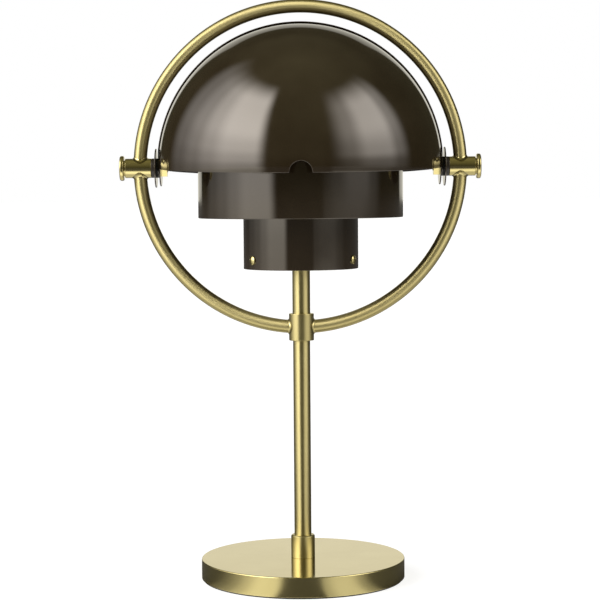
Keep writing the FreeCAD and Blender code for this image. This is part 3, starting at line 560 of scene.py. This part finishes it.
lathe("stem_lower", [
    (STEM_R - STEM_WALL, stem_low[2], 0.1), (STEM_R, stem_low[2], 0.2),
    (STEM_R, stem_high[2], 0.05), (STEM_R - STEM_WALL, stem_high[2], 0.05)],
    material=STEM_BRASS)
upper_low, upper_high = extent("stem_upper")
UPPER_R = upper_high[0]
THREAD_R = 4.9
carrier_low, carrier_high = extent("head_carrier")
lathe("stem_upper", [
    (UPPER_R - STEM_WALL, upper_low[2], 0.05), (UPPER_R, upper_low[2], 0.05),
    (UPPER_R, carrier_low[2], 0.05), (THREAD_R, carrier_low[2], 0.05),
    (THREAD_R, upper_high[2], 0.2), (UPPER_R - STEM_WALL, upper_high[2], 0.1)],
    material=STEM_BRASS)

# Ring

arch_high = extent("ring_arch")[1]
TUBE_R = arch_high[1]
TUBE_WALL = 1.0
TUBE_SIDES = 48
TUBE_STEP = 0.9
FEWEST_TUBE_STEPS = 12
RING_R = arch_high[2] - PIVOT_Z - TUBE_R
PIVOT_END_ANGLE = 1.95
HUB_END_ANGLE = 3.35


def ring_direction(angle):
    return math.cos(angle) * X + math.sin(angle) * Z


def bent_tube(node, first, last):
    """A stretch of the ring between two angles, counted from +X towards +Z."""
    turns = max(FEWEST_TUBE_STEPS, round((last - first) / TUBE_STEP))
    sides = TUBE_SIDES
    points, normals, faces = [], [], []
    for i in range(turns + 1):
        out = ring_direction(math.radians(first + (last - first) * i / turns))
        for radius, facing in ((TUBE_R, 1), (TUBE_R - TUBE_WALL, -1)):
            for j in range(sides):
                b = 2 * math.pi * j / sides
                spoke = math.cos(b) * out + math.sin(b) * Y
                points.append(PIVOT + RING_R * out + radius * spoke)
                normals.append(facing * spoke)
    for j in range(sides):
        k = (j + 1) % sides
        for i in range(turns):
            start = 2 * sides * i
            for shift in (0, sides):
                a = start + shift
                faces.append([a + j, a + k, a + 2 * sides + k, a + 2 * sides + j])
    shape = points, normals, faces
    caps = []
    for i, way in ((0, -1), (turns, 1)):
        angle = math.radians(first + (last - first) * i / turns)
        along = way * (-math.sin(angle) * X + math.cos(angle) * Z)
        start = 2 * sides * i
        ring_faces = [[j, (j + 1) % sides, sides + (j + 1) % sides, sides + j]
                      for j in range(sides)]
        caps.append((points[start:start + 2 * sides], [along] * 2 * sides, ring_faces))
    tube = add_piece(node, joined(shape, *caps), material=RING_BRASS)
    # The photograph shows no mirror image of the ring in the shades
    tube.visible_glossy = False


bent_tube("ring_arch", PIVOT_END_ANGLE, 180 - PIVOT_END_ANGLE)
bent_tube("ring_quarter_right", -90 + HUB_END_ANGLE, -PIVOT_END_ANGLE)
bent_tube("ring_quarter_left", 180 + PIVOT_END_ANGLE, 270 - HUB_END_ANGLE)

BRAZE_REACH = 1.3
BRAZE_STEPS = 8
BRAZE_DEPTH = 0.6
BRAZE_LAP = 0.3


def braze(centre_angle, body_r, way):
    """The hollow seam where the ring tube leaves a round body of radius body_r.

    The body stands at centre_angle on the ring, and way is the tube's direction.
    """
    angle = math.radians(centre_angle)
    radial = ring_direction(angle)
    tangent = way * (-math.sin(angle) * X + math.cos(angle) * Z)
    middle = PIVOT + RING_R * radial
    inner = TUBE_R - BRAZE_LAP

    def spot(turn, radius, out):
        side = radius * math.sin(turn)
        far = math.sqrt(body_r ** 2 - side ** 2) + out
        bend = RING_R - math.sqrt(RING_R ** 2 - far ** 2)
        return middle + far * tangent + (radius * math.cos(turn) - bend) * radial + side * Y

    count = BRAZE_STEPS + 4
    points, normals, faces = [], [], []
    for j in range(TUBE_SIDES):
        turn = 2 * math.pi * j / TUBE_SIDES
        spoke = math.cos(turn) * radial + math.sin(turn) * Y
        for i in range(BRAZE_STEPS + 1):
            t = math.pi / 2 * i / BRAZE_STEPS
            points.append(spot(turn, TUBE_R + BRAZE_REACH * (1 - math.cos(t)),
                               BRAZE_REACH * (1 - math.sin(t))))
            normals.append(math.cos(t) * spoke + math.sin(t) * tangent)
        for radius, out, normal in ((TUBE_R + BRAZE_REACH, -BRAZE_DEPTH, -tangent),
                                    (inner, -BRAZE_DEPTH, -spoke - tangent),
                                    (inner, BRAZE_REACH, -spoke)):
            points.append(spot(turn, radius, out))
            normals.append(normal)
    for j in range(TUBE_SIDES):
        k = (j + 1) % TUBE_SIDES
        for i in range(count):
            m = (i + 1) % count
            faces.append([j * count + i, j * count + m, k * count + m, k * count + i])
    return points, normals, faces


HUB_R = 7.5
HUB_Z = PIVOT_Z - RING_R
hub_low, hub_high = extent("ring_hub")
add_piece("ring_hub", joined(
    turned([
        (STEM_R + FIT, hub_low[2], 0.02), (HUB_R, hub_low[2], 0.35),
        (HUB_R, hub_high[2], 0.35), (UPPER_R + FIT, hub_high[2], 0.02),
        (UPPER_R + FIT, HUB_Z, 0.01), (STEM_R + FIT, HUB_Z, 0.01)]),
    braze(270, HUB_R, 1), braze(270, HUB_R, -1)), material=TURNED_BRASS)

# Pivots

BORE = 2.55
BOLT_R = 2.5
BOLT_NECK_R = 4.7
BOLT_NECK = 0.6
BARREL_R = 5.8
PIVOT_AROUND = 96


def stations(node):
    """How far from the middle a pivot piece starts and ends, and its radius."""
    low, high = extent(node)
    near, far = sorted((abs(low[0]), abs(high[0])))
    return near, far, (high[1] - low[1]) / 2


for side, sign in SIDES.items():
    place = {"origin": PIVOT, "along": sign * X, "around": PIVOT_AROUND}
    near, barrel_end, _ = stations("pivot_barrel_" + side)
    angle = 0 if sign > 0 else 180
    add_piece("pivot_barrel_" + side, joined(
        turned([(BORE, near, 0.05), (BARREL_R, near, 0.4), (BARREL_R, barrel_end, 0.4),
                (BORE, barrel_end, 0.05)], **place),
        braze(angle, BARREL_R, 1), braze(angle, BARREL_R, -1)))

    near, far, head_r = stations("pivot_bolt_" + side)
    neck_end = barrel_end + BOLT_NECK
    lathe("pivot_bolt_" + side, [
        (0, near, 0), (BOLT_R, near, 0.25), (BOLT_R, barrel_end, 0.02),
        (BOLT_NECK_R, barrel_end, 0.02), (BOLT_NECK_R, neck_end, 0.05),
        (head_r, neck_end, 0.9), (head_r, far, 0.9), (0, far, 0)],
        closed=False, **place)

    for word, edge in (("outer_spacer_", 0.2), ("pivot_disc_", 0.2),
                       ("shade_washer_", 0.1), ("friction_washer_", 0.1)):
        near, far, radius = stations(word + side)
        lathe(word + side, [(BORE, near, 0.03), (radius, near, edge), (radius, far, edge),
                            (BORE, far, 0.03)], **place)

# Shades

SHEET = 0.8
DROOP = math.radians(2.7)
NOTCH_R = 6.5
NOTCH_Z = 2.7 - NOTCH_R
NOTCH_STEPS = 40
RIM_ROUND = 0.3
RIM_STEPS = (30, 60, 90)
EDGE_SOFT = 0.9
# The shades' grid has columns along the arc and rows about the axis. Round the
# notch a patch of it is left out, and triangles on a field of points fill that
PATCH_S = 14.0
PATCH_ANGLE = math.radians(9.0)
PATCH_COLUMNS = 8
PATCH_ROWS = 7
DOME_COLUMNS = 36
DOME_ROWS = 66
EDGE_COLUMNS = 7
FLANK_COLUMNS = 4
EAR_COLUMNS = 8
EAR_ROWS = 60
FIELD_STEP = 1.4
FIELD_HALF = 12.6
FIELD_LOW = -2.2
FIELD_HIGH = 13.0
FIELD_ROOM = 0.9
COLUMN_ROOM = 0.3


def thickened(points, normals, cells):
    """A sheet of even thickness with rounded rims, from its outer side."""
    count = len(points)
    shape_points = list(points) + list(points - SHEET * normals)
    shape_normals = list(normals) + list(-normals)
    faces = cells + [[v + count for v in cell] for cell in cells]
    uses = {}
    for cell in cells:
        for k, v in enumerate(cell):
            pair = (cell[k - 1], v)
            uses.setdefault(tuple(sorted(pair)), []).append(cell)
    rim = {pair: owners[0] for pair, owners in uses.items() if len(owners) == 1}
    outward = np.zeros((count, 3))
    for (a, b), owner in rim.items():
        away = (points[a] + points[b]) / 2 - points[owner].mean(0)
        along = points[b] - points[a]
        along /= np.linalg.norm(along)
        for v in (a, b):
            side = np.cross(normals[v], along)
            outward[v] += side * math.copysign(1.0, side @ away)
    strip = {}
    arc = [math.radians(a) for a in RIM_STEPS]
    for v in {v for pair in rim for v in pair}:
        e = outward[v] / np.linalg.norm(outward[v])
        n = normals[v]
        line = [v]
        for sign, base in ((1, points[v]), (-1, points[v] - SHEET * n)):
            steps = arc if sign > 0 else arc[::-1]
            for a in steps:
                line.append(len(shape_points))
                shape_points.append(base + RIM_ROUND * (
                    math.sin(a) * e - sign * (1 - math.cos(a)) * n))
                shape_normals.append(math.sin(a) * e + sign * math.cos(a) * n)
        line.append(v + count)
        strip[v] = line
    for a, b in rim:
        for i in range(len(strip[a]) - 1):
            faces.append([strip[a][i], strip[b][i], strip[b][i + 1], strip[a][i + 1]])
    return shape_points, shape_normals, faces


def shade(node, flat, bulge, crown, ear, sweep, facing):
    """A quarter dome of one sheet turned about the pivot axis, with round ears.

    A place on it is an arc length s from the middle of the sheet and an angle
    about the pivot axis, counted up from the level. Facing is -1 for the front.
    """
    radius = flat + bulge
    lean = math.acos(flat / radius)
    dome = radius * (math.pi / 2 - lean)
    edge = crown + math.sqrt(radius ** 2 - flat ** 2)
    soft = EDGE_SOFT

    def outline(s):
        """(x, r, normal x, normal r) of the outer side at an arc length."""
        sign = -1 if s < 0 else 1
        s = abs(s)
        if s <= dome - soft:
            a = math.pi / 2 - s / radius
            x, r = radius * math.cos(a), crown + radius * math.sin(a)
        elif s >= dome + soft:
            a, x, r = 0.0, flat, edge - (s - dome)
        else:
            w = (s - dome + soft) / (2 * soft)
            first = outline(dome - soft)
            a = math.atan2(first[3], first[2]) * (1 - w)
            x = (1 - w) ** 2 * first[0] + (1 - (1 - w) ** 2) * flat
            r = (1 - w) ** 2 * first[1] + 2 * w * (1 - w) * edge + w ** 2 * (edge - soft)
        return sign * x, r, sign * math.cos(a), math.sin(a)

    ear_s = dome + edge - (ear - RIM_ROUND)
    bore_s = dome + edge - (BORE + RIM_ROUND)
    low = -DROOP + RIM_ROUND / radius
    high = sweep - RIM_ROUND / radius

    half = list(np.linspace(0, PATCH_S, PATCH_COLUMNS))
    half += list(np.linspace(PATCH_S, dome - soft, DOME_COLUMNS)[1:])
    half += list(np.linspace(dome - soft, dome + soft, EDGE_COLUMNS)[1:])
    if ear_s > half[-1]:
        half += list(np.linspace(half[-1], ear_s, FLANK_COLUMNS)[1:])
    else:
        ear_s = half[-1]
    half += list(np.linspace(ear_s, bore_s, EAR_COLUMNS)[1:])
    columns = [-s for s in half[:0:-1]] + half
    angles = list(np.linspace(low, PATCH_ANGLE, PATCH_ROWS))
    angles += list(np.linspace(PATCH_ANGLE, high, DOME_ROWS)[1:])
    round_angles = list(np.linspace(high, 2 * math.pi + low, EAR_ROWS)[1:-1])

    places, index = [], {}

    def spot(s, angle):
        """The number of the point at a place, which is made once."""
        key = (round(s, 4), round(angle, 5))
        if key not in index:
            index[key] = len(places)
            places.append((s, angle))
        return index[key]

    cells = []
    for i in range(len(columns) - 1):
        a, b = columns[i], columns[i + 1]
        for j in range(len(angles) - 1):
            if max(abs(a), abs(b)) <= PATCH_S + NEAR and j < PATCH_ROWS - 1:
                continue
            cells.append([spot(a, angles[j]), spot(b, angles[j]),
                          spot(b, angles[j + 1]), spot(a, angles[j + 1])])
        if min(abs(a), abs(b)) >= ear_s - NEAR:
            loop = [angles[-1], *round_angles, angles[0]]
            for j in range(len(loop) - 1):
                cells.append([spot(a, loop[j]), spot(b, loop[j]),
                              spot(b, loop[j + 1]), spot(a, loop[j + 1])])

    # The patch round the notch, laid out flat
    notch_r = NOTCH_R + RIM_ROUND
    clear = notch_r + COLUMN_ROOM
    corner_s = radius * math.asin(notch_r / radius)
    border = [(s, low) for s in columns if -PATCH_S - NEAR <= s < -clear]
    border.append((-corner_s, low))
    for k in range(1, NOTCH_STEPS):
        a = math.pi - math.pi * k / NOTCH_STEPS
        x, z = notch_r * math.cos(a), NOTCH_Z + notch_r * math.sin(a)
        s = radius * math.asin(x / radius)
        border.append((s, math.asin(z / outline(s)[1])))
    border.append((corner_s, low))
    border += [(s, low) for s in columns if clear < s <= PATCH_S + NEAR]
    border += [(PATCH_S, a) for a in angles[1:PATCH_ROWS]]
    border += [(s, PATCH_ANGLE) for s in columns[::-1] if abs(s) < PATCH_S - NEAR]
    border += [(-PATCH_S, a) for a in angles[PATCH_ROWS - 1:0:-1]]
    inside = []
    for s in np.arange(-FIELD_HALF, FIELD_HALF + COLUMN_ROOM, FIELD_STEP):
        for z in np.arange(FIELD_LOW, FIELD_HIGH, FIELD_STEP):
            if math.hypot(s, z - NOTCH_Z) > notch_r + FIELD_ROOM:
                inside.append((s, z / radius))
    flat_points = [Vector((s, a * radius)) for s, a in border + inside]
    ring = list(range(len(border)))
    result = delaunay_2d_cdt(flat_points, [], [ring], 1, 1e-5)
    found = [(border + inside)[origin[0]] for origin in result[3]]
    numbers = [spot(s, a) for s, a in found]
    cells += [[numbers[v] for v in face] for face in result[2]]

    points, normals = [], []
    for s, a in places:
        x, r, nx, nr = outline(s)
        if abs(s) >= ear_s - NEAR and not low - NEAR <= a <= high + NEAR:
            x, nx, nr = math.copysign(flat, s), math.copysign(1.0, s), 0.0
        around = facing * math.cos(a) * Y + math.sin(a) * Z
        points.append(PIVOT + x * X + r * around)
        normals.append(nx * X + nr * around)
    add_piece(node, thickened(np.array(points), np.array(normals), cells), node)


BACK_FLAT = extent("back_shade")[1][0]
FRONT_FLAT = extent("front_shade")[1][0]
shade("back_shade", BACK_FLAT, bulge=0.6, crown=1.0, ear=5.8,
      sweep=math.radians(90), facing=1)
shade("front_shade", FRONT_FLAT, bulge=0.7, crown=0.6, ear=11.65,
      sweep=math.radians(94), facing=-1)

# Lamp head

housing_low, housing_high = extent("head_housing")
HOUSING_R = housing_high[0]
HOUSING_WALL = 1.0
HOUSING_HOLE_R = 12.0
drum_low, drum_high = extent("drum")
DRUM_R = drum_high[0]
DRUM_WALL = 0.8
DRUM_FLOOR = 1.0
DRUM_HOLE_R = 4.0
lathe("head_housing", [
    (HOUSING_R - HOUSING_WALL, housing_low[2], 0.2), (HOUSING_R, housing_low[2], 0.35),
    (HOUSING_R, housing_high[2], 0.3), (HOUSING_HOLE_R, housing_high[2], 0.05),
    (HOUSING_HOLE_R, housing_high[2] - HOUSING_WALL, 0.05),
    (HOUSING_R - HOUSING_WALL, housing_high[2] - HOUSING_WALL, 0.5)],
    around=256)
lathe("drum", [
    (DRUM_HOLE_R, drum_low[2], 0.05), (DRUM_R, drum_low[2], 0.5),
    (DRUM_R, drum_high[2], 0.25), (DRUM_R - DRUM_WALL, drum_high[2], 0.25),
    (DRUM_R - DRUM_WALL, drum_low[2] + DRUM_FLOOR, 0.3),
    (DRUM_HOLE_R, drum_low[2] + DRUM_FLOOR, 0.05)],
    around=360)
CARRIER_R = carrier_high[0]
CARRIER_WALL = 1.9
CARRIER_FLOOR = 2.0
lathe("head_carrier", [
    (THREAD_R + FIT, carrier_low[2], 0.05), (CARRIER_R, carrier_low[2], 0.4),
    (CARRIER_R, carrier_high[2], 0.2), (CARRIER_R - CARRIER_WALL, carrier_high[2], 0.2),
    (CARRIER_R - CARRIER_WALL, carrier_low[2] + CARRIER_FLOOR, 0.3),
    (THREAD_R + FIT, carrier_low[2] + CARRIER_FLOOR, 0.05)])
ring_low, ring_high = extent("diffuser_ring")
LINER_R = ring_high[0]
LINER_WALL = 1.0
LINER_LEDGE = 4.0
LINER_TOP = 1.5
lathe("diffuser_ring", [
    (LINER_R - LINER_WALL, ring_low[2], 0.05), (LINER_R, ring_low[2], 0.1),
    (LINER_R, ring_high[2], 0.1), (LINER_R - LINER_LEDGE, ring_high[2], 0.1),
    (LINER_R - LINER_LEDGE, ring_high[2] - LINER_TOP, 0.1),
    (LINER_R - LINER_WALL, ring_high[2] - LINER_TOP, 0.3)])
glass_low, glass_high = extent("diffuser")
lathe("diffuser", [
    (0, glass_low[2], 0), (LINER_R, glass_low[2], 0.1), (LINER_R, glass_high[2], 0.5),
    (0, glass_high[2], 0)], closed=False)

# Studio

# Stops of (degrees, level): across by azimuth, 0 at the front and more towards +X,
# and upwards by height above the level
LEFT_LEVEL = 5.7
LEFT_ACROSS = [(-133, 0), (-115, 0.16), (-96, 0.36), (-80, 0.66), (-62, 1), (-38, 1),
               (-26, 0)]
LEFT_UPWARDS = [(-60, 0.0), (-15, 0.05), (0, 0.34), (6, 0.56), (14, 0.78), (26, 1),
                (48, 0.9), (66, 0)]
RIGHT_LEVEL = 3.8
RIGHT_ACROSS = [(22, 0.0), (42, 0.45), (58, 1), (76, 1), (88, 0.45), (102, 0)]
RIGHT_UPWARDS = [(-40, 0.0), (-3, 0.07), (3, 0.2), (10, 0.6), (28, 1), (42, 0.95),
                 (62, 0)]
FRONT_UPWARDS = [(-20, 0.02), (0, 0.05), (12, 0.1), (45, 0.18), (90, 0.28)]
REAR_UPWARDS = [(-5, 0.04), (42, 0.07), (60, 0.15), (90, 0.28)]
FRONT_ACROSS = [(-130, 0), (-60, 1), (60, 1), (130, 0)]
PANEL_ACROSS = [(159, 0), (161.5, 1)]
PANEL_UPWARDS = [(12, 1), (18, 0.75), (24, 0.62), (30, 0.5), (33, 0)]
SWEEP_ACROSS = [(144, 0), (148, 1)]
SWEEP_UPWARDS = [(1, 1), (3, 0)]
LIGHT_COLOUR = (1, 0.98, 1.0, 1)
ROOM_COLOUR = (1.0, 0.95, 0.55, 1)
BACKDROP_COLOUR = (1.0, 0.965, 0.84, 1)
WHITE = (1, 1, 1, 1)


def studio():
    """White to the camera. To other rays it is a dim room with two soft lights at
    the sides, and a pale backdrop behind the lamp."""
    world = bpy.data.worlds.new("studio")
    scene.world = world
    world.use_nodes = True
    n = Nodes(world.node_tree, "ShaderNodeOutputWorld")
    x, y, z = n.split(n.add("ShaderNodeTexCoord").outputs["Generated"])
    azimuth = n.azimuth(x, y)
    aside = n.maths("ABSOLUTE", azimuth)
    height = n.product(n.maths("ARCSINE", z), DEGREES_A_RADIAN)

    def by_azimuth(stops):
        return n.profile(azimuth, stops, -180, 180)

    def by_height(stops):
        return n.profile(height, stops, -90, 90)

    def light(level, across, up):
        return n.product(n.product(by_azimuth(across), by_height(up)), level)

    def backdrop(across, up):
        return n.product(n.profile(aside, across, 0, 180), by_height(up))

    def glow(colour, strength):
        node = n.add("ShaderNodeBackground")
        node.inputs["Color"].default_value = colour
        n.put(strength, node.inputs["Strength"])
        return node.outputs[0]

    lights = n.maths("ADD", light(LEFT_LEVEL, LEFT_ACROSS, LEFT_UPWARDS),
                     light(RIGHT_LEVEL, RIGHT_ACROSS, RIGHT_UPWARDS))
    room = n.add("ShaderNodeMix", data_type="FLOAT")
    n.link(by_azimuth(FRONT_ACROSS), room.inputs["Factor"])
    n.link(by_height(REAR_UPWARDS), room.inputs["A"])
    n.link(by_height(FRONT_UPWARDS), room.inputs["B"])
    behind = n.maths("MAXIMUM", backdrop(PANEL_ACROSS, PANEL_UPWARDS),
                     backdrop(SWEEP_ACROSS, SWEEP_UPWARDS))
    open_room = n.product(room.outputs["Result"], n.maths("SUBTRACT", 1.0, behind))
    around = n.total([glow(LIGHT_COLOUR, lights), glow(ROOM_COLOUR, open_room),
                      glow(BACKDROP_COLOUR, behind)])
    n.link(n.for_camera(glow(WHITE, 1.0), around), n.output.inputs["Surface"])


FLOOR_HALF = 30.0
FLOOR_PALE = (0.3, 0.3, 0.3, 1)
FLOOR_GLOW = 0.8
FLOOR_DIM = (0.1, 0.1, 0.1, 1)
# Colour of the floor's glow to other rays, which also carries its painted pools of light
FLOOR_GLOW_AND_PAINTED_POOLS = (1, 0.98, 0.94, 1)
# Painted pools of light from the two lights on the floor: stops of (degrees, level) by azimuth
PAINTED_POOL_STRETCH = 1.77
LEFT_PAINTED_POOL = [(-133, 0), (-115, 0.12), (-96, 0.3), (-80, 0.62), (-62, 1), (-36, 1), (-25, 0)]
RIGHT_PAINTED_POOL = [(22, 0), (28, 0.65), (45, 1), (66, 1), (84, 0.4), (100, 0)]


def dim_floor_with_painted_pools(n):
    """The floor as other rays see it: dim and without gloss, with soft pools of light from
    the two lights painted on it as glow, and painted shade in front where the pools
    leave a gap. Distances from the lamp are in metres."""
    x, y, _ = n.split(n.place())
    away = n.maths("SQRT", n.maths("ADD", n.product(x, x), n.product(y, y)))
    # Near the lamp the painted pools draw in towards the front
    around = n.product(n.azimuth(x, y),
                       n.span(away, PAINTED_POOL_STRETCH, 1.0, start=0.09, stop=0.5))
    # Painted pools of light as glow, with painted shade in front where neither pool reaches
    left = n.product(n.span(away, 1.25, 1.9, start=5.0, stop=15.0),
                     n.profile(around, LEFT_PAINTED_POOL, -180, 180))
    right_painted_pool_level = n.maths("ADD", n.span(away, 0.95, 0.2, start=3.0, stop=5.0),
                          n.span(away, 0.0, 0.3, start=8.0, stop=20.0))
    right = n.product(right_painted_pool_level, n.profile(around, RIGHT_PAINTED_POOL, -180, 180))
    steep = n.add("ShaderNodeLayerWeight").outputs["Facing"]
    strength = n.maths("ADD", n.span(steep, 0.8, 0.0, start=0.3, stop=0.55),
                       n.maths("ADD", left, right))
    return n.principled(Base_Color=FLOOR_DIM, Roughness=0.5, Specular_IOR_Level=0.0,
                        Emission_Color=FLOOR_GLOW_AND_PAINTED_POOLS, Emission_Strength=strength)


def floor_finish(n):
    """Pale to the camera, with the lamp's soft shadow, and dim to other rays, with painted pools
    of light.
    """
    diffuse = n.add("ShaderNodeBsdfDiffuse")
    diffuse.inputs["Color"].default_value = FLOOR_PALE
    glow = n.add("ShaderNodeEmission")
    glow.inputs["Strength"].default_value = FLOOR_GLOW
    return n.for_camera(n.total([diffuse.outputs[0], glow.outputs[0]]), dim_floor_with_painted_pools(n))


def table_top():
    """A wide level floor under the lamp."""
    mesh = bpy.data.meshes.new("floor")
    size = FLOOR_HALF
    mesh.from_pydata([(-size, -size, 0), (size, -size, 0), (size, size, 0),
                      (-size, size, 0)], [], [(0, 1, 2, 3)])
    floor = bpy.data.objects.new("floor", mesh)
    scene.collection.objects.link(floor)
    mesh.materials.append(finish_of("pale_floor", floor_finish))


studio()
table_top()

# Camera

CAMERA_PLACE = (-0.00372, -1.120, 0.2368)
CAMERA_TURN = -0.15
CAMERA_DIP = 3.46
CAMERA_ROLL = -0.42

lens = bpy.data.cameras.new("camera")
lens.lens = 111.66
lens.sensor_width = 36.0
lens.clip_end = 100.0
camera = bpy.data.objects.new("camera", lens)
scene.collection.objects.link(camera)
camera.matrix_world = (
    Matrix.Translation(CAMERA_PLACE)
    @ Matrix.Rotation(math.radians(CAMERA_TURN), 4, "Z")
    @ Matrix.Rotation(math.radians(90 - CAMERA_DIP), 4, "X")
    @ Matrix.Rotation(math.radians(CAMERA_ROLL), 4, "Z"))
scene.camera = camera
scene.view_settings.view_transform = "Standard"
